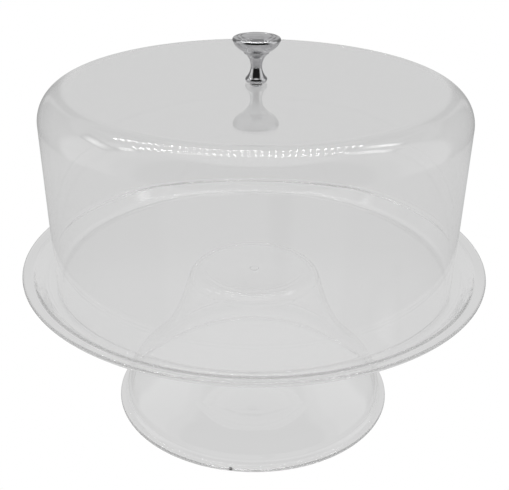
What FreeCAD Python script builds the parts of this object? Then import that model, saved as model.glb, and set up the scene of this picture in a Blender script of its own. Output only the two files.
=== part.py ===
import FreeCAD, Part
import Sketcher
import math
import os

# Clear acrylic cake stand with a lift-off domed cover. Millimetres, +Z up,
# origin at the centre of the foot's underside. Every piece is turned about Z,
# so each body is a revolved section, with cuts where the real piece has them.

SHEET_NAME = "Size"

# alias, value in mm (or degrees), what it is
DRIVING_SIZES = [
    ("sheet_wall", 3.0, "wall of the plate and the pedestal"),
    ("foot_radius", 103.0, "outside of the pedestal's turned-out lip"),
    ("foot_wall_radius", 97.5, "bell wall where it meets the lip"),
    ("foot_lip_bend", 2.5, "inside bend between the bell wall and the lip"),
    ("bell_radius", 97.5, "bell wall at the top of its upright part"),
    ("bell_height", 17.0, "corner between the upright bell wall and the flare"),
    ("bell_bend", 28.0, "outside bend of the bell"),
    ("flare_radius", 61.5, "corner between the flare and the neck"),
    ("flare_height", 54.0, "height of that corner"),
    ("flare_bend", 110.0, "long hollow bend of the flare"),
    ("neck_radius", 45.6, "corner between the neck and the top disc"),
    ("shoulder_bend", 10.0, "outside bend at the top of the neck"),
    ("gate_radius", 3.2, "moulding gate pip under the top disc"),
    ("gate_height", 0.6, "how far the pip stands out"),
    ("plate_floor", 107.5, "height of the plate's upper face"),
    ("plate_well_radius", 148.0, "foot of the plate's sloping side"),
    ("plate_well_bend", 5.0, "bend at the foot of the sloping side"),
    ("plate_rim_radius", 156.8, "top of the sloping side"),
    ("plate_rim_bend", 4.2, "bend under the rim, on its lower face"),
    ("plate_rim_height", 116.5, "height of the rim's upper face"),
    ("plate_radius", 165.0, "outside of the plate"),
    ("cover_wall", 3.0, "wall of the cover"),
    ("cover_gap", 0.3, "clearance between the cover's edge and the plate"),
    ("cover_mouth_radius", 142.3, "outside of the cover at its open edge"),
    ("cover_radius", 145.3, "corner between the cover's wall and its top"),
    ("cover_top", 244.2, "height of the cover's flat top"),
    ("cover_shoulder_bend", 20.0, "outside bend of the cover's shoulder"),
    ("edge_round", 1.4, "rounding of the free edges"),
    ("screw_radius", 1.75, "outside of the screw's thread, M3.5"),
    ("screw_hole_radius", 1.9, "hole through the cover's top"),
    ("screw_grip", 11.0, "length of screw inside the knob"),
    ("screw_head_radius", 3.5, "low round head of the screw"),
    ("screw_head_height", 2.0, "height of the head"),
    ("screw_head_edge", 0.6, "upright edge of the head"),
    ("screw_recess_width", 1.0, "width of each slot of the cross recess"),
    ("screw_recess_length", 4.0, "length of each slot of the cross recess"),
    ("screw_recess_depth", 1.2, "depth of the cross recess"),
    ("washer_radius", 4.2, "outside of the soft washer under the head"),
    ("washer_hole_radius", 1.85, "hole of the washer"),
    ("washer_wall", 0.5, "thickness of the washer"),
    ("knob_height", 31.5, "height of the knob above the cover"),
    ("knob_seat_radius", 3.4, "flat seat under the knob"),
    ("knob_base_radius", 7.4, "widest point of the base bead"),
    ("knob_base_bead", 2.0, "radius of the base bead"),
    ("knob_waist_radius", 3.85, "thinnest point of the stem"),
    ("knob_waist_height", 11.0, "height of the waist above the cover"),
    ("knob_stem_bend", 10.8, "hollow bend of the stem"),
    ("knob_collar_radius", 8.4, "collar between the stem and the bowl"),
    ("knob_collar_height", 1.1, "height of the collar's band"),
    ("knob_bowl_bend", 11.4, "round side of the bowl"),
    ("knob_radius", 16.0, "widest point of the knob"),
    ("knob_rim_round", 1.7, "rounding of the knob's rim"),
    ("knob_rim_height", 28.5, "height of the widest point"),
    ("knob_groove_round", 0.6, "radius of the two rings turned in the top"),
    ("knob_groove_outer", 12.9, "radius of the outer ring"),
    ("knob_groove_inner", 10.4, "radius of the inner ring"),
    ("knob_tap_depth", 13.0, "depth of the tapped hole"),
]

document = FreeCAD.newDocument("CakeStandDome")
sheet = document.addObject("Spreadsheet::Sheet", SHEET_NAME)


def fill_sheet():
    """Write each driving size as a plain number with an alias and a note."""
    for row, (alias, value, note) in enumerate(DRIVING_SIZES, start=1):
        sheet.set(f"A{row}", note)
        sheet.set(f"B{row}", str(value))
        sheet.setAlias(f"B{row}", alias)
    document.recompute()


def formula(expression):
    """Put the sheet's name in front of every alias in an expression."""
    words = expression.replace("(", " ( ").replace(")", " ) ").split()
    aliases = {alias for alias, _, _ in DRIVING_SIZES}
    return " ".join(f"{SHEET_NAME}.{word}" if word in aliases else word for word in words)


def size_of(expression):
    """Value of an expression of aliases, in mm."""
    return float(sheet.evalExpression(formula(expression)))


def origin_plane(body, role):
    """One of a body's own origin planes or axes."""
    return next(feature for feature in body.Origin.OriginFeatures if feature.Role == role)


def new_body(label):
    """An empty body whose name and label are the node's name."""
    body = document.addObject("PartDesign::Body", label)
    body.Label = label
    return body


def new_sketch(body, name, role="XZ_Plane"):
    """A sketch on one of the body's origin planes."""
    sketch = body.newObject("Sketcher::SketchObject", name)
    sketch.AttachmentSupport = [(origin_plane(body, role), "")]
    sketch.MapMode = "FlatFace"
    return sketch


class Section:
    """Half of a turned piece: x is the radius and y the height.

    It starts on the axis or away from it, runs through lines and arcs, and closes
    on itself. Every size it takes is an expression of the sheet's aliases.
    """

    START, END, CENTRE = 1, 2, 3

    def __init__(self, body, name, role="XZ_Plane"):
        self.sketch = new_sketch(body, name, role)
        self.count = 0

    def point(self, place):
        """A place given as two expressions, as numbers."""
        return FreeCAD.Vector(size_of(place[0]), size_of(place[1]), 0)

    def bind(self, kind, *geometry_and_value):
        """Add a named dimension and bind it to its expression."""
        *geometry, expression = geometry_and_value
        value = size_of(expression)
        index = self.sketch.addConstraint(Sketcher.Constraint(kind, *geometry, value))
        self.count += 1
        name = f"size_{self.count}"
        self.sketch.renameConstraint(index, name)
        self.sketch.setExpression(f"Constraints.{name}", formula(expression))

    def place(self, geometry, end, place):
        """Fix one end of a line or arc at a place measured from the origin."""
        radius, height = place
        if radius == "0":
            self.tie("PointOnObject", geometry, end, -2)
        else:
            self.bind("DistanceX", -1, 1, geometry, end, radius)
        if height == "0":
            self.tie("PointOnObject", geometry, end, -1)
        else:
            self.bind("DistanceY", -1, 1, geometry, end, height)

    def tie(self, kind, *geometry):
        """Add a geometric constraint."""
        self.sketch.addConstraint(Sketcher.Constraint(kind, *geometry))

    def line(self, start, end):
        """Draw a line between two vectors."""
        return self.sketch.addGeometry(Part.LineSegment(start, end), False)

    def arc(self, start, middle, end):
        """Draw an arc through three vectors."""
        return self.sketch.addGeometry(Part.Arc(start, middle, end), False)

    def end_of(self, geometry, vector):
        """Which end of a drawn line or arc lies at a vector."""
        at_start = self.sketch.getPoint(geometry, self.START)
        at_end = self.sketch.getPoint(geometry, self.END)
        is_start = (at_start - vector).Length < (at_end - vector).Length
        return self.START if is_start else self.END

    def revolve(self, name, groove=False):
        """Turn the section a full circle about the upright axis."""
        body = self.sketch.getParentGeoFeatureGroup()
        document.recompute()
        kind = "PartDesign::Groove" if groove else "PartDesign::Revolution"
        turned = body.newObject(kind, name)
        turned.Profile = self.sketch
        turned.ReferenceAxis = (self.sketch, ["V_Axis"])
        turned.Angle = 360
        document.recompute()
        return turned


def bend_ends(before, corner, after, radius):
    """Where an arc of a radius touches the two straight runs that meet at a corner."""
    towards_before = (before - corner).normalize()
    towards_after = (after - corner).normalize()
    half_opening = towards_before.getAngle(towards_after) / 2
    reach = radius / math.tan(half_opening)
    middle_way = (towards_before + towards_after).normalize()
    centre = corner + middle_way * (radius / math.sin(half_opening))
    return (
        corner + towards_before * reach,
        centre - middle_way * radius,
        corner + towards_after * reach,
        centre,
    )


def turn_side(before, corner, after):
    """+1 where a path turns left at a corner, -1 where it turns right."""
    first = corner - before
    second = after - corner
    return 1 if first.x * second.y - first.y * second.x > 0 else -1


def shell_section(body, name, wall, path):
    """Section of a sheet of even wall that follows a path of straight runs and bends.

    path lists the corners of the outer face from the axis outwards, each as
    (radius, height, bend radius), as expressions; the first and last corners have
    no bend. The other face lies one wall to the right of the path.
    """
    section = Section(body, name)
    corners = [section.point(corner[:2]) for corner in path]
    thickness = size_of(wall)
    bends = []
    for index in range(1, len(path) - 1):
        around = corners[index - 1:index + 2]
        side = turn_side(*around)
        near = size_of(path[index][2])
        far_expression = f"{path[index][2]} {'+' if side > 0 else '-'} {wall}"
        far = size_of(far_expression)
        start, middle, end, centre = bend_ends(*around, near)
        grow = far / near
        far_points = [centre + (point - centre) * grow for point in (start, middle, end)]
        bends.append(((start, middle, end), far_points, path[index][2], far_expression))

    def right_of(first, second):
        along = (second - first).normalize()
        return FreeCAD.Vector(along.y, -along.x, 0) * thickness

    first_far = corners[0] + right_of(corners[0], corners[1])
    last_far = corners[-1] + right_of(corners[-2], corners[-1])
    near_chain = draw_chain(section, corners[0], corners[-1], [bend[0] for bend in bends])
    far_chain = draw_chain(section, first_far, last_far, [bend[1] for bend in bends])

    for index, bend in enumerate(bends):
        near_arc = near_chain[2 * index + 1]
        far_arc = far_chain[2 * index + 1]
        section.bind("Radius", near_arc, bend[2])
        section.bind("Radius", far_arc, bend[3])
        section.tie("Coincident", near_arc, section.CENTRE, far_arc, section.CENTRE)
        mark = section.sketch.addGeometry(Part.Point(corners[index + 1]), True)
        section.tie("PointOnObject", mark, section.START, near_chain[2 * index])
        section.tie("PointOnObject", mark, section.START, near_chain[2 * index + 2])
        section.place(mark, section.START, path[index + 1][:2])

    section.place(near_chain[0], section.START, path[0][:2])
    section.place(near_chain[-1], section.END, path[-1][:2])
    axis_edge = section.line(corners[0], first_far)
    section.tie("Coincident", axis_edge, 1, near_chain[0], 1)
    section.tie("Coincident", axis_edge, 2, far_chain[0], 1)
    section.tie("Perpendicular", axis_edge, near_chain[0])
    section.tie("Parallel", near_chain[0], far_chain[0])
    free_edge = section.line(corners[-1], last_far)
    section.tie("Coincident", free_edge, 1, near_chain[-1], 2)
    section.tie("Coincident", free_edge, 2, far_chain[-1], 2)
    section.tie("Perpendicular", free_edge, near_chain[-1])
    section.tie("Parallel", near_chain[-1], far_chain[-1])
    return section


def draw_chain(section, start, end, arcs):
    """Draw straight runs joined by tangent arcs, and return their geometry in order."""
    chain = []
    here = start
    for arc_start, arc_middle, arc_end in arcs:
        chain.append(section.line(here, arc_start))
        chain.append(section.arc(arc_start, arc_middle, arc_end))
        here = arc_end
    chain.append(section.line(here, end))
    joints = [point for arc in arcs for point in (arc[0], arc[2])]
    for index, joint in enumerate(joints):
        before, after = chain[index], chain[index + 1]
        ends = (section.end_of(before, joint), section.end_of(after, joint))
        section.tie("Tangent", before, ends[0], after, ends[1])
    return chain


def ring_edges(shape, radius, height, tolerance=0.1):
    """Names of the circular edges with a radius at a height."""
    names = []
    for number, edge in enumerate(shape.Edges, start=1):
        curve = edge.Curve
        if not isinstance(curve, Part.Circle):
            continue
        same_radius = abs(curve.Radius - radius) < tolerance
        if same_radius and abs(curve.Center.z - height) < tolerance:
            names.append(f"Edge{number}")
    return names


def round_rings(body, base, name, radius, rings):
    """Round the named circular edges, each given as (radius, height)."""
    names = [found for ring in rings for found in ring_edges(base.Shape, *ring)]
    if len(names) != len(rings):
        raise RuntimeError(f"{body.Label}: {len(names)} edges found for {len(rings)} rings")
    fillet = body.newObject("PartDesign::Fillet", name)
    fillet.Base = (base, names)
    fillet.setExpression("Radius", formula(radius))
    document.recompute()
    return fillet


def polygon_section(body, name, corners, role="XZ_Plane"):
    """A section made of straight lines between corners given as expressions."""
    section = Section(body, name, role)
    points = [section.point(corner) for corner in corners]
    lines = []
    for index, point in enumerate(points):
        lines.append(section.line(point, points[(index + 1) % len(points)]))
    for index, line in enumerate(lines):
        section.tie("Coincident", line, section.END, lines[(index + 1) % len(lines)], section.START)
        section.place(line, section.START, corners[index])
    return section


def on_circle(centre, radius, angle):
    """Point of a circle at an angle in degrees."""
    turn = math.radians(angle)
    return centre + FreeCAD.Vector(radius * math.cos(turn), radius * math.sin(turn), 0)


def angle_to(centre, point):
    """Angle in degrees from a centre to a point."""
    return math.degrees(math.atan2(point.y - centre.y, point.x - centre.x))


def arc_about(section, centre, radius, first, last):
    """Draw an arc about a centre between two angles."""
    angles = (first, (first + last) / 2, last)
    return section.arc(*[on_circle(centre, radius, angle) for angle in angles])


def make_pedestal():
    """Hollow bell: top disc, neck, flare, upright bell wall and turned-out lip."""
    body = new_body("pedestal")
    section = shell_section(body, "bell_section", "sheet_wall", [
        ("0", "plate_floor - sheet_wall"),
        ("neck_radius", "plate_floor - sheet_wall", "shoulder_bend"),
        ("flare_radius", "flare_height", "flare_bend"),
        ("bell_radius", "bell_height", "bell_bend"),
        ("foot_wall_radius", "sheet_wall", "foot_lip_bend"),
        ("foot_radius", "sheet_wall"),
    ])
    bell = section.revolve("bell")
    wall = size_of("sheet_wall")
    radius = size_of("foot_radius")
    round_rings(body, bell, "lip_rounding", "edge_round", [(radius, 0), (radius, wall)])
    pip = polygon_section(body, "gate_section", [
        ("0", "plate_floor - sheet_wall * 2 - gate_height"),
        ("gate_radius", "plate_floor - sheet_wall * 2 - gate_height"),
        ("gate_radius", "plate_floor - sheet_wall * 1.5"),
        ("0", "plate_floor - sheet_wall * 1.5"),
    ])
    pip.revolve("gate_pip")
    return body


def make_plate():
    """Round plate: flat floor, sloping side and flat rim."""
    body = new_body("cake_plate")
    section = shell_section(body, "plate_section", "sheet_wall", [
        ("0", "plate_floor"),
        ("plate_well_radius", "plate_floor", "plate_well_bend"),
        ("plate_rim_radius", "plate_rim_height", "plate_rim_bend"),
        ("plate_radius", "plate_rim_height"),
    ])
    plate = section.revolve("plate")
    radius = size_of("plate_radius")
    top = size_of("plate_rim_height")
    rings = [(radius, top), (radius, top - size_of("sheet_wall"))]
    round_rings(body, plate, "rim_rounding", "edge_round", rings)
    return body


def make_cover():
    """Upturned tub: flat top, round shoulder and nearly upright wall, open below."""
    body = new_body("dome_cover")
    section = shell_section(body, "cover_section", "cover_wall", [
        ("0", "cover_top"),
        ("cover_radius", "cover_top", "cover_shoulder_bend"),
        ("cover_mouth_radius", "plate_floor + cover_gap"),
    ])
    shell = section.revolve("shell")
    mouth = size_of("cover_mouth_radius")
    foot = size_of("plate_floor + cover_gap")
    rings = [(mouth, foot), (mouth - size_of("cover_wall"), foot)]
    rounded = round_rings(body, shell, "mouth_rounding", "edge_round", rings)
    hole = polygon_section(body, "screw_hole_section", [
        ("0", "cover_top - cover_wall - 1"),
        ("screw_hole_radius", "cover_top - cover_wall - 1"),
        ("screw_hole_radius", "cover_top + 1"),
        ("0", "cover_top + 1"),
    ])
    cut_from(rounded, hole, "screw_hole")
    return body


def cut_from(base, section, name):
    """Turn a section into a groove, and make sure that it took material away."""
    before = base.Shape.Volume
    groove = section.revolve(name, groove=True)
    if groove.Shape.Volume >= before:
        raise RuntimeError(f"{name} cuts nothing")
    return groove


def make_knob():
    """Turned knob on its own seat at height 0: bead, hollow stem, collar, bowl, domed top."""
    body = new_body("knob")
    section = Section(body, "knob_section")
    bead = size_of("knob_base_bead")
    stem = size_of("knob_stem_bend")
    bowl = size_of("knob_bowl_bend")
    rim = size_of("knob_rim_round")
    height = size_of("knob_height")

    stem_centre = section.point(("knob_waist_radius + knob_stem_bend", "knob_waist_height"))
    bead_across = stem_centre.x - (size_of("knob_base_radius") - bead)
    bead_below = math.sqrt((stem + bead) ** 2 - bead_across ** 2)
    bead_centre = stem_centre - FreeCAD.Vector(bead_across, bead_below, 0)
    seat = section.point(("knob_seat_radius", "0"))
    seat_angle = angle_to(bead_centre, seat)
    seat_reach = (seat - bead_centre).Length
    underside_angle = seat_angle + math.degrees(math.acos(bead / seat_reach))
    underside_end = on_circle(bead_centre, bead, underside_angle)
    bead_end_angle = angle_to(bead_centre, stem_centre)

    collar = size_of("knob_collar_radius")
    collar_angle = 180 - math.degrees(math.acos((stem_centre.x - collar) / stem))
    collar_low = on_circle(stem_centre, stem, collar_angle)
    collar_high = collar_low + FreeCAD.Vector(0, size_of("knob_collar_height"), 0)

    rim_centre = section.point(("knob_radius - knob_rim_round", "knob_rim_height"))
    gap = (rim_centre - collar_high).Length
    from_rim = math.acos((gap ** 2 + (bowl - rim) ** 2 - bowl ** 2) / (2 * gap * (bowl - rim)))
    bowl_angle = angle_to(rim_centre, collar_high) - math.degrees(from_rim)
    bowl_centre = on_circle(rim_centre, bowl - rim, bowl_angle)
    rise = height - rim_centre.y
    crown = (rise ** 2 + rim_centre.x ** 2 - rim ** 2) / (2 * (rise - rim))
    crown_centre = FreeCAD.Vector(0, height - crown, 0)
    crown_angle = angle_to(crown_centre, rim_centre)

    seat_line = section.line(FreeCAD.Vector(0, 0, 0), seat)
    underside = section.line(seat, underside_end)
    bead_arc = arc_about(section, bead_centre, bead, underside_angle, bead_end_angle)
    stem_start = angle_to(stem_centre, bead_centre) + 360
    stem_arc = arc_about(section, stem_centre, stem, stem_start, collar_angle)
    collar_line = section.line(collar_low, collar_high)
    bowl_start = angle_to(bowl_centre, collar_high)
    rim_start = angle_to(bowl_centre, rim_centre)
    bowl_arc = arc_about(section, bowl_centre, bowl, bowl_start, rim_start)
    rim_arc = arc_about(section, rim_centre, rim, rim_start, crown_angle)
    crown_arc = arc_about(section, crown_centre, crown, crown_angle, 90)
    axis_line = section.line(FreeCAD.Vector(0, height, 0), FreeCAD.Vector(0, 0, 0))

    chain = [
        (seat_line, underside, seat, "Coincident"),
        (underside, bead_arc, underside_end, "Tangent"),
        (bead_arc, stem_arc, on_circle(bead_centre, bead, bead_end_angle), "Tangent"),
        (stem_arc, collar_line, collar_low, "Coincident"),
        (collar_line, bowl_arc, collar_high, "Coincident"),
        (bowl_arc, rim_arc, on_circle(rim_centre, rim, rim_start), "Tangent"),
        (rim_arc, crown_arc, on_circle(rim_centre, rim, crown_angle), "Tangent"),
        (crown_arc, axis_line, FreeCAD.Vector(0, height, 0), "Coincident"),
        (axis_line, seat_line, FreeCAD.Vector(0, 0, 0), "Coincident"),
    ]
    for before, after, joint, kind in chain:
        ends = (section.end_of(before, joint), section.end_of(after, joint))
        section.tie(kind, before, ends[0], after, ends[1])
    section.place(seat_line, section.START, ("0", "0"))
    section.tie("Horizontal", seat_line)
    section.bind("DistanceX", -1, 1, seat_line, section.END, "knob_seat_radius")
    section.bind("Radius", bead_arc, "knob_base_bead")
    bead_place = "knob_base_radius - knob_base_bead"
    section.bind("DistanceX", -1, 1, bead_arc, section.CENTRE, bead_place)
    section.bind("Radius", stem_arc, "knob_stem_bend")
    stem_place = ("knob_waist_radius + knob_stem_bend", "knob_waist_height")
    section.place(stem_arc, section.CENTRE, stem_place)
    section.tie("Vertical", collar_line)
    section.bind("DistanceX", -1, 1, collar_line, section.START, "knob_collar_radius")
    section.bind("Distance", collar_line, "knob_collar_height")
    section.bind("Radius", bowl_arc, "knob_bowl_bend")
    section.bind("Radius", rim_arc, "knob_rim_round")
    rim_place = ("knob_radius - knob_rim_round", "knob_rim_height")
    section.place(rim_arc, section.CENTRE, rim_place)
    section.tie("PointOnObject", crown_arc, section.CENTRE, -2)
    section.tie("PointOnObject", axis_line, section.START, -2)
    section.bind("DistanceY", axis_line, section.END, axis_line, section.START, "knob_height")
    turned = section.revolve("turned_blank")

    rings = Section(body, "ring_section")
    ring_round = size_of("knob_groove_round")
    for ring in ("knob_groove_outer", "knob_groove_inner"):
        radius = size_of(ring)
        surface = crown_centre.y + math.sqrt(crown ** 2 - radius ** 2)
        middle = FreeCAD.Vector(radius, surface + ring_round / 3, 0)
        up = FreeCAD.Vector(0, 0, 1)
        circle = rings.sketch.addGeometry(Part.Circle(middle, up, ring_round), False)
        rings.bind("Radius", circle, "knob_groove_round")
        rings.bind("DistanceX", -1, 1, circle, rings.CENTRE, ring)
        height_index = rings.sketch.addConstraint(
            Sketcher.Constraint("DistanceY", -1, 1, circle, rings.CENTRE, middle.y)
        )
        rings.sketch.renameConstraint(height_index, f"height_of_{ring}")
    ringed = cut_from(turned, rings, "top_rings")

    tap = polygon_section(body, "tapped_hole_section", [
        ("0", "0"),
        ("screw_radius", "0"),
        ("screw_radius", "knob_tap_depth"),
        ("0", "knob_tap_depth + screw_radius * 0.6"),
    ])
    cut_from(ringed, tap, "tapped_hole")
    body.setExpression(".Placement.Base.z", formula("cover_top"))
    return body


def make_screw():
    """Low round-headed screw with a cross recess: the head hangs below height 0."""
    body = new_body("knob_screw")
    section = Section(body, "screw_section")
    head = section.point(("screw_head_radius", "0"))
    edge = section.point(("screw_head_radius", "0 - screw_head_edge"))
    bottom = section.point(("0", "0 - screw_head_height"))
    depth = edge.y - bottom.y
    dome = (edge.x ** 2 + depth ** 2) / (2 * depth)
    dome_centre = FreeCAD.Vector(0, bottom.y + dome, 0)
    grip = "screw_grip + cover_wall + washer_wall"
    shank = section.point(("screw_radius", "0"))
    tip = section.point(("screw_radius", grip))
    tip_centre = section.point(("0", grip))

    dome_arc = arc_about(section, dome_centre, dome, -90, angle_to(dome_centre, edge))
    edge_line = section.line(edge, head)
    bearing = section.line(head, shank)
    shank_line = section.line(shank, tip)
    tip_line = section.line(tip, tip_centre)
    axis_line = section.line(tip_centre, bottom)
    loop = [dome_arc, edge_line, bearing, shank_line, tip_line, axis_line]
    joints = [edge, head, shank, tip, tip_centre, bottom]
    for index, joint in enumerate(joints):
        before, after = loop[index], loop[(index + 1) % len(loop)]
        ends = (section.end_of(before, joint), section.end_of(after, joint))
        section.tie("Coincident", before, ends[0], after, ends[1])
    section.place(bearing, section.START, ("screw_head_radius", "0"))
    section.place(bearing, section.END, ("screw_radius", "0"))
    section.tie("Vertical", edge_line)
    section.bind("Distance", edge_line, "screw_head_edge")
    section.tie("Vertical", shank_line)
    section.tie("Horizontal", tip_line)
    section.place(axis_line, section.START, ("0", grip))
    section.tie("PointOnObject", axis_line, section.END, -2)
    section.bind("DistanceY", axis_line, section.END, -1, 1, "screw_head_height")
    section.tie("PointOnObject", dome_arc, section.CENTRE, -2)
    blank = section.revolve("screw_blank")

    recess = new_sketch(body, "recess_outline", "XY_Plane")
    half_width = size_of("screw_recess_width") / 2
    half_length = size_of("screw_recess_length") / 2
    quarter = [(half_length, -half_width), (half_length, half_width), (half_width, half_width)]
    corners = []
    for turn in range(4):
        for x, y in quarter:
            for _ in range(turn):
                x, y = -y, x
            corners.append(FreeCAD.Vector(x, y, 0))
    for index, corner in enumerate(corners):
        recess.addGeometry(Part.LineSegment(corner, corners[(index + 1) % len(corners)]), False)
        recess.addConstraint(Sketcher.Constraint("Block", index))
    recess.setExpression(".AttachmentOffset.Base.z", formula("0 - screw_head_height"))
    document.recompute()
    cross = body.newObject("PartDesign::Pocket", "cross_recess")
    cross.Profile = recess
    cross.Reversed = True
    cross.setExpression("Length", formula("screw_recess_depth"))
    document.recompute()
    if cross.Shape.Volume >= blank.Shape.Volume:
        raise RuntimeError("the cross recess cuts nothing")
    body.setExpression(".Placement.Base.z", formula("cover_top - cover_wall - washer_wall"))
    return body


def make_washer():
    """Soft flat washer between the screw's head and the cover's top."""
    body = new_body("screw_washer")
    section = polygon_section(body, "washer_section", [
        ("washer_hole_radius", "0"),
        ("washer_radius", "0"),
        ("washer_radius", "washer_wall"),
        ("washer_hole_radius", "washer_wall"),
    ])
    section.revolve("ring")
    body.setExpression(".Placement.Base.z", formula("cover_top - cover_wall - washer_wall"))
    return body


def check_document(bodies):
    """Stop if any object failed or any piece is not one valid solid."""
    document.recompute()
    for item in document.Objects:
        if "Invalid" in item.State or "Error" in item.State:
            raise RuntimeError(f"{item.Label} failed: {item.State}")
        if item.TypeId == "Sketcher::SketchObject" and (item.solve() != 0 or item.DoF != 0):
            raise RuntimeError(f"{item.Label} is not fully constrained")
    for body in bodies:
        shape = body.Shape
        if shape.isNull() or not shape.isValid() or len(shape.Solids) != 1:
            raise RuntimeError(f"{body.Label} is not one valid solid")


def export(bodies):
    """Write each piece to its own STEP file, and print its size."""
    os.makedirs("parts", exist_ok=True)
    for body in bodies:
        body.Shape.exportStep(f"parts/{body.Label}.step")
        box = body.Shape.optimalBoundingBox()
        print(f"{body.Label}: radius {box.XMax:.2f}, z {box.ZMin:.2f} to {box.ZMax:.2f},"
              f" volume {body.Shape.Volume / 1000:.1f} cm3")


fill_sheet()
pieces = [make_pedestal(), make_plate(), make_cover(), make_knob(), make_screw(), make_washer()]
check_document(pieces)
export(pieces)
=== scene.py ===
from math import atan2, cos, hypot, pi, radians, sin, tan

import bpy
from mathutils import Matrix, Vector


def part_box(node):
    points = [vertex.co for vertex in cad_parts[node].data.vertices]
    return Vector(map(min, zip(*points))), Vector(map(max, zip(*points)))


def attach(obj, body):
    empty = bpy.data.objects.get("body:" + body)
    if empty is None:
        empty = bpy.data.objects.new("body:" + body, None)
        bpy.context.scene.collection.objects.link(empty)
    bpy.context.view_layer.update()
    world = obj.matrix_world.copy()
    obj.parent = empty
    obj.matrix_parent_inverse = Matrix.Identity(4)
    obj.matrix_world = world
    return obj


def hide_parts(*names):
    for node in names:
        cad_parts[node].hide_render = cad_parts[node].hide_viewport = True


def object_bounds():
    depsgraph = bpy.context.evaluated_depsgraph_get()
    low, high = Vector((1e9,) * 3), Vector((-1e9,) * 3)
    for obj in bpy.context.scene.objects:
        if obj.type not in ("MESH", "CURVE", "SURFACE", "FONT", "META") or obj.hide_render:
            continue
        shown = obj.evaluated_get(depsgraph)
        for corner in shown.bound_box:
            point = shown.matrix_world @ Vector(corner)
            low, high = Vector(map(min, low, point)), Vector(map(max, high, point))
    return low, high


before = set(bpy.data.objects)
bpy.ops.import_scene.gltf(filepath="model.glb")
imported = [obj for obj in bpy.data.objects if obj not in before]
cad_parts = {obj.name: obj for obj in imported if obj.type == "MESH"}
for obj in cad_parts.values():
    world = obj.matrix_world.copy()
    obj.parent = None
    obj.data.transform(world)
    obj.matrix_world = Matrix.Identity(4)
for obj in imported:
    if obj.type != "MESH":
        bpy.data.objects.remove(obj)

CAD_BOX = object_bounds()
PLATE_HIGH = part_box("cake_plate")[1]
COVER_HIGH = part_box("dome_cover")[1]
PEDESTAL_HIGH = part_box("pedestal")[1]

CAMERA_PLACE = (0, -0.5788, 0.4053)
LOOK_DOWN = radians(25.98)
CAMERA_ROLL = 0.0106
BOUNCES = 160
FLOOR_REACH = 3.0
FLOOR_DROP = 0.0004
LIGHT_HEIGHT = 1.6
LED_LENGTH = 0.055
LED_STRENGTH = 26


# Camera: above the front edge of the plate, looking down at the cake stand.

camera_data = bpy.data.cameras.new("camera")
camera_data.sensor_width = 36
camera_data.lens = 62.6
camera_data.clip_start = 0.05
camera_data.clip_end = 50
camera = bpy.data.objects.new("camera", camera_data)
bpy.context.scene.collection.objects.link(camera)
tilt = Matrix.Rotation(pi / 2 - LOOK_DOWN, 4, "X")
roll = Matrix.Rotation(CAMERA_ROLL, 4, "Z")
camera.matrix_world = Matrix.Translation(CAMERA_PLACE) @ tilt @ roll
bpy.context.scene.camera = camera


class Nodes:
    """Adds shader nodes to one material or world, and links them."""

    def __init__(self, owner):
        owner.use_nodes = True
        self.tree = owner.node_tree
        self.tree.nodes.clear()

    def add(self, kind, inputs=None, **settings):
        node = self.tree.nodes.new(kind)
        for name, value in settings.items():
            setattr(node, name, value)
        for name, value in (inputs or {}).items():
            self.feed(node.inputs[name], value)
        return node

    def feed(self, socket, value):
        if isinstance(value, bpy.types.NodeSocket):
            self.tree.links.new(value, socket)
        else:
            socket.default_value = value

    def math(self, operation, first, second=0.0, clamp=False):
        node = self.add("ShaderNodeMath", operation=operation, use_clamp=clamp)
        self.feed(node.inputs[0], first)
        self.feed(node.inputs[1], second)
        return node.outputs[0]

    def step(self, value, start, end, low=0.0, high=1.0):
        """A smooth change from low to high as the value goes from start to end."""
        node = self.add("ShaderNodeMapRange", interpolation_type="SMOOTHSTEP")
        self.feed(node.inputs["Value"], value)
        node.inputs["From Min"].default_value = start
        node.inputs["From Max"].default_value = end
        node.inputs["To Min"].default_value = low
        node.inputs["To Max"].default_value = high
        return node.outputs[0]

    def band(self, value, rise, fall):
        """1 between the two slopes, 0 outside them."""
        up = self.step(value, rise[0], rise[1])
        down = self.step(value, fall[0], fall[1], 1.0, 0.0)
        return self.math("MULTIPLY", up, down)

    def blend(self, share, first, second):
        node = self.add("ShaderNodeMix", data_type="FLOAT")
        self.feed(node.inputs[0], share)
        self.feed(node.inputs[2], first)
        self.feed(node.inputs[3], second)
        return node.outputs[0]


# Studio: white to the camera, grey through the plastic, and soft boxes round a
# dark photographer's side for what the plastic and the chrome reflect. Clear
# edges pipe light a long way, so rays may bounce many times before they stop.

bpy.context.scene.view_settings.view_transform = "Standard"
bpy.context.scene.render.film_transparent = False
bpy.context.scene.cycles.max_bounces = BOUNCES
bpy.context.scene.cycles.transmission_bounces = BOUNCES
bpy.context.scene.cycles.glossy_bounces = BOUNCES
bpy.context.scene.cycles.transparent_max_bounces = BOUNCES

world = bpy.data.worlds.new("studio")
bpy.context.scene.world = world
studio = Nodes(world)
direction = studio.add("ShaderNodeTexCoord").outputs["Generated"]
split = studio.add("ShaderNodeSeparateXYZ", {"Vector": direction})
x, y, height = split.outputs
squared = studio.math("MULTIPLY", height, height)
across = studio.math("SQRT", studio.math("SUBTRACT", 1.0, squared))
back = studio.math("DIVIDE", y, studio.math("MAXIMUM", across, 0.01))
front = studio.math("MULTIPLY", back, -1.0)
sideways = studio.math("ABSOLUTE", x)
path = studio.add("ShaderNodeLightPath").outputs
layers = path["Transmission Depth"]

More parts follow.
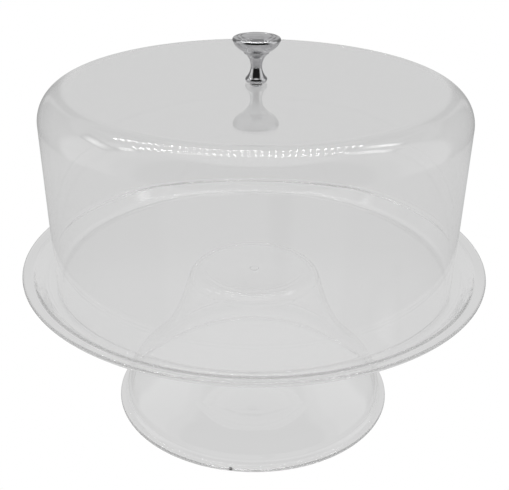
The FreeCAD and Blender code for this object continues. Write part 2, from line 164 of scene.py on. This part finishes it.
# Masks of the directions that each thing in the studio fills.
level = studio.band(height, (-0.37, -0.28), (0.72, 0.82))
boxes = studio.band(front, (-0.42, -0.28), (0.20, 0.34))
boxes = studio.math("MULTIPLY", boxes, level)
corners = studio.band(front, (-0.97, -0.93), (-0.46, -0.34))
corners = studio.math("MULTIPLY", corners, level)
above = studio.step(height, 0.86, 0.94)
person = studio.band(height, (-0.37, -0.28), (0.84, 0.92))
dark = studio.math("MULTIPLY", studio.step(front, 0.42, 0.56), person)
sheet_front = studio.step(height, -0.37, -0.30, 1.0, 0.0)
sheet_front = studio.math("MULTIPLY", sheet_front, studio.step(front, 0.62, 0.70))
gap_sides = studio.band(sideways, (0.42, 0.46), (0.48, 0.54))
gap_top = studio.band(height, (0.46, 0.50), (0.56, 0.64))
gap = studio.math("MAXIMUM", gap_sides, gap_top)
gap = studio.math("MULTIPLY", gap, studio.step(back, 0.30, 0.50))
gap = studio.math("MULTIPLY", gap, studio.step(height, -0.10, 0.02))
lens_x = studio.math("SUBTRACT", x, 0.20)
lens_z = studio.math("ADD", height, 0.42)
lens_reach = studio.math("ADD", studio.math("MULTIPLY", lens_x, lens_x),
                         studio.math("MULTIPLY", lens_z, lens_z))
lens = studio.step(lens_reach, 0.0, 0.016, 1.0, 0.0)
lens = studio.math("MULTIPLY", lens, studio.step(front, 0.60, 0.80))

# What a reflection shows. It evens out on pieces that are behind other plastic.
seen = studio.step(height, -0.45, -0.25, 0.50, 0.62)
seen = studio.blend(boxes, seen, 0.98)
seen = studio.blend(corners, seen, 0.24)
seen = studio.blend(gap, seen, 0.45)
seen = studio.blend(above, seen, 1.0)
seen = studio.blend(dark, seen, 0.02)
seen = studio.blend(sheet_front, seen, 0.70)
seen = studio.blend(lens, seen, 0.25)
seen = studio.blend(studio.step(layers, 0.5, 3.0), seen, 0.66)

# What a ray that went through plastic ends on, a little lighter behind more sheets.
upper_band = studio.band(height, (0.30, 0.40), (0.75, 0.85))
low_band = studio.band(height, (-0.61, -0.56), (-0.48, -0.43))
through = studio.blend(upper_band, 0.665, 0.58)
through = studio.blend(above, through, 0.9)
through = studio.math("MULTIPLY", through, studio.step(layers, 4.2, 6.5, 1.0, 1.05))
through = studio.math("MULTIPLY", through, studio.blend(low_band, 1.0, 1.045))

shown = studio.blend(path["Is Transmission Ray"], seen, through)
shown = studio.blend(path["Is Camera Ray"], shown, 1.0)
sky = studio.add("ShaderNodeBackground", {"Strength": shown})
sky.inputs["Color"].default_value = (1, 1, 1, 1)
out = studio.add("ShaderNodeOutputWorld")
studio.tree.links.new(sky.outputs[0], out.inputs["Surface"])


def mesh_object(name, points, faces, smooth=True):
    mesh = bpy.data.meshes.new(name)
    mesh.from_pydata(points, [], faces)
    mesh.validate()
    if smooth:
        mesh.shade_smooth()
    made = bpy.data.objects.new(name, mesh)
    bpy.context.scene.collection.objects.link(made)
    return made


# Floor: a plain white sheet that the foot stands on.

below = CAD_BOX[0].z - FLOOR_DROP
ends = ((-1, -1), (1, -1), (1, 1), (-1, 1))
floor_points = [(i * FLOOR_REACH, j * FLOOR_REACH, below) for i, j in ends]
floor = mesh_object("floor", floor_points, [(0, 1, 2, 3)], smooth=False)
floor_material = bpy.data.materials.new("white_floor")
sheet = Nodes(floor_material)
glow = sheet.add("ShaderNodeEmission", {"Color": (1, 1, 1, 1), "Strength": 1.0})
out = sheet.add("ShaderNodeOutputMaterial")
sheet.tree.links.new(glow.outputs[0], out.inputs["Surface"])
floor.data.materials.append(floor_material)
floor.visible_transmission = False
floor.visible_glossy = False


# Overhead lights that the plastic reflects: two fans of LEDs, one behind the
# other, whose steps widen outwards, and soft panels that fade at their edges.

def ceiling_light(name, panels, strength, soft=False):
    """Flat lights at one height, each a panel (place on X, place on Y, width, length)."""
    points = []
    faces = []
    for across_x, along_y, width, length in panels:
        first = len(points)
        for dx, dy in ((-1, -1), (-1, 1), (1, 1), (1, -1)):
            points.append((across_x + dx * width / 2, along_y + dy * length / 2, LIGHT_HEIGHT))
        faces.append((first, first + 1, first + 2, first + 3))
    light = mesh_object(name, points, faces, smooth=False)
    material = bpy.data.materials.new(name)
    lamp = Nodes(material)
    power = strength
    if soft:
        place = lamp.add("ShaderNodeTexCoord").outputs["Generated"]
        place = lamp.add("ShaderNodeSeparateXYZ", {"Vector": place}).outputs
        fade = lamp.math("MULTIPLY", lamp.band(place[0], (0, 0.45), (0.55, 1)),
                         lamp.band(place[1], (0, 0.45), (0.55, 1)))
        power = lamp.math("MULTIPLY", fade, strength)
    glow = lamp.add("ShaderNodeEmission", {"Color": (1, 1, 1, 1), "Strength": power})
    out = lamp.add("ShaderNodeOutputMaterial")
    lamp.tree.links.new(glow.outputs[0], out.inputs["Surface"])
    light.data.materials.append(material)
    light.visible_camera = False
    light.visible_diffuse = False
    light.visible_shadow = False
    return light


def led_fan(first, last, turn, spread, along_y):
    """LEDs at equal steps of angle, so that their steps along the bar widen outwards."""
    leds = []
    for i in range(first, last + 1):
        width = 0.42 * spread * turn / cos(i * turn) ** 2
        leds.append((spread * tan(i * turn), along_y, width, LED_LENGTH))
    return leds


ceiling_light("led_bar_back", led_fan(-20, 15, 0.0469, 0.725, 0.74), LED_STRENGTH)
ceiling_light("led_bar_front", led_fan(-17, 13, 0.0535, 0.767, 0.20), LED_STRENGTH)
ceiling_light("glow_left", [(-1.26, 0.06, 0.50, 0.20)], 5, soft=True)
ceiling_light("glow_right_front", [(1.00, 0.12, 1.10, 0.20)], 5, soft=True)
ceiling_light("glow_right_back", [(0.95, 0.53, 0.80, 0.22)], 5, soft=True)
ceiling_light("window_left", [(-1.95, 0.42, 0.90, 1.10)], 2.2, soft=True)


# Turned shapes. A run is a list of (radius, height, bend) corners in millimetres,
# with the solid on its right-hand side; a bend is the radius that rounds the corner.

def heading(start, end):
    length = hypot(end[0] - start[0], end[1] - start[1])
    return (end[0] - start[0]) / length, (end[1] - start[1]) / length


def inner_run(run, wall):
    """The other face of a sheet of that thickness; its bends keep their centres."""
    inner = []
    for i, (radius, height, bend) in enumerate(run):
        into = heading(run[i - 1], run[i]) if i else heading(run[0], run[1])
        out = heading(run[i], run[i + 1]) if i + 1 < len(run) else into
        turn = into[0] * out[1] - into[1] * out[0]
        share = wall / (1 + into[0] * out[0] + into[1] * out[1])
        side = (into[1] + out[1], -into[0] - out[0])
        if bend:
            bend = bend + wall if turn > 0 else bend - wall
        inner.append((radius + side[0] * share, height + side[1] * share, bend))
    return inner[::-1]


def arc_points(before, corner, after, bend):
    into = heading(corner, before)
    out = heading(corner, after)
    cross = into[0] * out[1] - into[1] * out[0]
    half = atan2(abs(cross), into[0] * out[0] + into[1] * out[1]) / 2
    middle_way = heading((0, 0), (into[0] + out[0], into[1] + out[1]))
    centre = [corner[i] + middle_way[i] * bend / sin(half) for i in (0, 1)]
    start = [corner[i] + into[i] * bend / tan(half) - centre[i] for i in (0, 1)]
    sweep = pi - 2 * half
    if cross > 0:
        sweep = -sweep
    steps = max(4, int(abs(sweep) / radians(5 if bend > 3 else 12)))
    points = []
    for i in range(steps + 1):
        angle = sweep * i / steps
        points.append((centre[0] + start[0] * cos(angle) - start[1] * sin(angle),
                       centre[1] + start[0] * sin(angle) + start[1] * cos(angle)))
    return points


def outline(corners, closed):
    """Corners made into points, with a ring near each end of a straight to hold it flat."""
    stretches = []
    count = len(corners)
    for i, corner in enumerate(corners):
        if corner[2] and (closed or 0 < i < count - 1):
            after = corners[(i + 1) % count]
            stretches.append(arc_points(corners[i - 1], corner, after, corner[2]))
        else:
            stretches.append([corner[:2]])
    points = []
    for i, stretch in enumerate(stretches):
        points += stretch
        if i + 1 == count and not closed:
            break
        start = stretch[-1]
        end = stretches[(i + 1) % count][0]
        length = hypot(end[0] - start[0], end[1] - start[1])
        if length > 0.5:
            inset = min(0.4, length / 4) / length
            marks = [inset] + [k / 6 for k in range(1, 6) if length > 20] + [1 - inset]
            for mark in marks:
                points.append((start[0] + (end[0] - start[0]) * mark,
                               start[1] + (end[1] - start[1]) * mark))
    return points


def lathe(name, points, closed, segments=256):
    """A solid of revolution about the upright axis from a section outline in millimetres."""
    verts = []
    faces = []
    rings = []
    for radius, height in points:
        first = len(verts)
        if radius < 1e-6:
            verts.append((0, 0, height / 1000))
            rings.append([first] * segments)
            continue
        for k in range(segments):
            angle = 2 * pi * k / segments
            verts.append((radius * cos(angle) / 1000, radius * sin(angle) / 1000, height / 1000))
        rings.append(list(range(first, first + segments)))
    pairs = list(zip(rings, rings[1:] + rings[:1]))
    if not closed:
        pairs.pop()
    for upper, lower in pairs:
        for k in range(segments):
            after = (k + 1) % segments
            corners = [upper[k], lower[k], lower[after], upper[after]]
            faces.append([v for i, v in enumerate(corners) if v != corners[i - 1]])
    return mesh_object(name, verts, faces)


# Sizes in millimetres. Sheets are one thickness, with their rims rounded over.
# The bonded disc is where the plate lies on the pedestal.

WALL = 3.0
EDGE = 1.4
HOLE_EDGE = 0.3
HOLE = 1.9
HIGH = COVER_HIGH.z * 1000
MOUTH_HIGH = 107.8
PLATE_TOP = PLATE_HIGH.z * 1000
PLATE_OUT = PLATE_HIGH.x * 1000
WELL_DEPTH = 9.0
BOND = PEDESTAL_HIGH.z * 1000
FOOT_OUT = PEDESTAL_HIGH.x * 1000
GLUED = 35.5
BOND_GAP = 0.04
STEP_DOWN = 0.16
GATE = 3.2
GATE_HIGH = 0.6

cover_outside = [(HOLE, HIGH, 0), (145.3, HIGH, 20), (142.3, MOUTH_HIGH, 0)]
cover_inside = inner_run(cover_outside, WALL)
cover_inside[1] = cover_inside[1][:2] + (17.9,)
mouth = [cover_outside[-1][:2] + (EDGE,), cover_inside[0][:2] + (EDGE,)]
hole = [cover_inside[-1][:2] + (HOLE_EDGE,), cover_outside[0][:2] + (HOLE_EDGE,)]
cover_section = hole[1:] + cover_outside[1:-1] + mouth + cover_inside[1:-1] + hole[:1]
cover = lathe("cover_shell", outline(cover_section, True), True)
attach(cover, "cover")
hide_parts("dome_cover")

well = PLATE_TOP - WELL_DEPTH
plate_face = [(0, well, 0), (148, well, 5), (156.8, PLATE_TOP, 4.2), (PLATE_OUT, PLATE_TOP, 0)]
plate_back = inner_run(plate_face, WALL)
rim = [plate_face[-1][:2] + (EDGE,), plate_back[0][:2] + (EDGE,)]
plate_back.insert(-1, (GLUED, well - WALL, 0))
plate_section = plate_face[:-1] + rim + plate_back[1:]
plate = lathe("plate_dish", outline(plate_section, False), False)
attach(plate, "stand")
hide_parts("cake_plate")

bell = [(0, BOND, 0), (45.6, BOND, 10), (61.5, 54, 110), (97.5, 17, 28)]
bell += [(97.5, WALL, 2.5), (FOOT_OUT, WALL, 0)]
hollow = inner_run(bell, WALL)
lip = [bell[-1][:2] + (EDGE,), hollow[0][:2] + (EDGE,)]
film = [(0, BOND - BOND_GAP, 0), (GLUED, BOND - BOND_GAP, 0)]
film += [(GLUED + 0.6, BOND - STEP_DOWN, 0.2)]
shoulder = [(45.6, BOND - STEP_DOWN, 10)]
ceiling = BOND - WALL
pip = [(GATE, ceiling, 0.2), (GATE, ceiling - GATE_HIGH, 0.2), (0, ceiling - GATE_HIGH, 0)]
section = film + shoulder + bell[2:-1] + lip + hollow[1:-1] + pip
pedestal = lathe("pedestal_bell", outline(section, False), False)
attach(pedestal, "stand")
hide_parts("pedestal")


def acrylic(name, tint, roughness, worn, moulded=None, chip=None):
    """Clear acrylic: slow waves in the sheet, fine scratches and dust, the fine rings
    left in a band of radii by the mould, and one small dirty chip."""
    material = bpy.data.materials.new(name)
    look = Nodes(material)
    place = look.add("ShaderNodeTexCoord").outputs["Object"]
    cloud = look.add("ShaderNodeTexNoise", {"Vector": place, "Scale": 14, "Detail": 2})
    dust = look.add("ShaderNodeTexNoise", {"Vector": place, "Scale": 900, "Detail": 2})
    drawn = look.add("ShaderNodeMapping", {"Vector": place, "Scale": (900, 60, 200)})
    drawn.inputs["Rotation"].default_value = (0.2, 0.3, 0.7)
    drawn = drawn.outputs[0]
    scratch = look.add("ShaderNodeTexNoise", {"Vector": drawn, "Scale": 1.0, "Detail": 4})
    rough = look.step(cloud.outputs[0], 0.3, 0.7, roughness * 0.6, roughness * 1.4)
    marks = look.step(scratch.outputs[0], 0.66, 0.74, 0.0, worn)
    marks = look.math("ADD", marks, look.step(dust.outputs[0], 0.70, 0.78, 0.0, worn))
    rough = look.math("ADD", rough, marks)
    wave = look.add("ShaderNodeBump", {"Height": cloud.outputs[0], "Distance": 0.0004})
    wave.inputs["Strength"].default_value = 0.05
    normal = wave.outputs[0]
    if moulded:
        parts = look.add("ShaderNodeSeparateXYZ", {"Vector": place}).outputs
        radius = look.math("SQRT", look.math("ADD", look.math("MULTIPLY", parts[0], parts[0]),
                                             look.math("MULTIPLY", parts[1], parts[1])))
        rings = look.math("SINE", look.math("MULTIPLY", radius, 2 * pi / 0.0016))
        inner, outer = moulded
        inside = look.band(radius, (inner - 0.001, inner), (outer, outer + 0.001))
        rings = look.math("MULTIPLY", rings, inside)
        turned = look.add("ShaderNodeBump", {"Height": rings, "Normal": normal})
        turned.inputs["Distance"].default_value = 0.00001
        turned.inputs["Strength"].default_value = 0.6
        normal = turned.outputs[0]
    colour = (tint, tint, tint, 1)
    if chip:
        away = look.add("ShaderNodeVectorMath", {0: place, 1: chip}, operation="DISTANCE")
        shade = look.add("ShaderNodeMix", data_type="RGBA")
        look.feed(shade.inputs[0], look.step(away.outputs["Value"], 0.0010, 0.0018, 1.0, 0.0))
        shade.inputs[6].default_value = colour
        shade.inputs[7].default_value = (0.04, 0.04, 0.04, 1)
        colour = shade.outputs[2]
    shader = look.add("ShaderNodeBsdfPrincipled", {
        "Base Color": colour,
        "Transmission Weight": 1.0,
        "IOR": 1.49,
        "Roughness": rough,
        "Normal": normal,
    })
    soak = look.add("ShaderNodeVolumeAbsorption", {"Color": (0.9, 0.9, 0.9, 1), "Density": 5})
    out = look.add("ShaderNodeOutputMaterial")
    look.tree.links.new(shader.outputs[0], out.inputs["Surface"])
    look.tree.links.new(soak.outputs[0], out.inputs["Volume"])
    return material


def metal(name, dull, bright, smooth, worn, grain):
    """Plated metal: tiny pits, handling marks and a slightly uneven shine."""
    material = bpy.data.materials.new(name)
    look = Nodes(material)
    place = look.add("ShaderNodeTexCoord").outputs["Object"]
    cloud = look.add("ShaderNodeTexNoise", {"Vector": place, "Scale": grain, "Detail": 4})
    pits = look.add("ShaderNodeTexNoise", {"Vector": place, "Scale": grain * 9, "Detail": 2})
    rough = look.step(cloud.outputs[0], 0.3, 0.7, smooth, worn)
    shade = look.add("ShaderNodeMix", data_type="RGBA")
    look.feed(shade.inputs[0], look.step(cloud.outputs[0], 0.35, 0.65))
    shade.inputs[6].default_value = dull
    shade.inputs[7].default_value = bright
    bump = look.add("ShaderNodeBump", {"Height": pits.outputs[0], "Distance": 0.00002})
    bump.inputs["Strength"].default_value = 0.25
    shader = look.add("ShaderNodeBsdfPrincipled", {
        "Base Color": shade.outputs[2],
        "Metallic": 1.0,
        "Roughness": rough,
        "Normal": bump.outputs[0],
    })
    out = look.add("ShaderNodeOutputMaterial")
    look.tree.links.new(shader.outputs[0], out.inputs["Surface"])
    return material


def nylon(name):
    """Milky moulded nylon with a fine matt grain."""
    material = bpy.data.materials.new(name)
    look = Nodes(material)
    place = look.add("ShaderNodeTexCoord").outputs["Object"]
    grain = look.add("ShaderNodeTexNoise", {"Vector": place, "Scale": 1500, "Detail": 3})
    shade = look.add("ShaderNodeMix", data_type="RGBA")
    look.feed(shade.inputs[0], look.step(grain.outputs[0], 0.35, 0.65))
    shade.inputs[6].default_value = (0.70, 0.69, 0.65, 1)
    shade.inputs[7].default_value = (0.80, 0.79, 0.76, 1)
    bump = look.add("ShaderNodeBump", {"Height": grain.outputs[0], "Distance": 0.00003})
    bump.inputs["Strength"].default_value = 0.4
    shader = look.add("ShaderNodeBsdfPrincipled", {
        "Base Color": shade.outputs[2],
        "Roughness": look.step(grain.outputs[0], 0.3, 0.7, 0.38, 0.52),
        "Normal": bump.outputs[0],
    })
    out = look.add("ShaderNodeOutputMaterial")
    look.tree.links.new(shader.outputs[0], out.inputs["Surface"])
    return material


def wear(node, material):
    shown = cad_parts[node]
    shown.data.materials.clear()
    shown.data.materials.append(material)


chip_place = (-0.0148, -0.1019, 0.0025)
stand_plastic = acrylic("stand_acrylic", 1.0, 0.03, 0.10, moulded=(0.148, 0.157), chip=chip_place)
cover_plastic = acrylic("cover_acrylic", 0.98, 0.02, 0.04)
cover.data.materials.append(cover_plastic)


def glue(piece):
    """The bonded faces of the plate and the pedestal, which nothing shows in clear plastic."""
    piece.data.materials.append(stand_plastic)
    piece.data.materials.append(bonded)
    for face in piece.data.polygons:
        middle = face.center
        close = abs(middle.z * 1000 - BOND) < 0.1
        if close and hypot(middle.x, middle.y) * 1000 < GLUED:
            face.material_index = 1


bonded = bpy.data.materials.new("bonded_faces")
film_look = Nodes(bonded)
clear = film_look.add("ShaderNodeBsdfPrincipled", {"Alpha": 0.0, "IOR": 1.49})
out = film_look.add("ShaderNodeOutputMaterial")
film_look.tree.links.new(clear.outputs[0], out.inputs["Surface"])
glue(plate)
glue(pedestal)
chrome = metal("chrome", (0.46, 0.46, 0.47, 1), (0.56, 0.56, 0.57, 1), 0.04, 0.10, 160)
zinc = metal("zinc", (0.50, 0.52, 0.55, 1), (0.66, 0.68, 0.70, 1), 0.26, 0.42, 300)
wear("knob", chrome)
wear("knob_screw", zinc)
wear("screw_washer", nylon("nylon"))
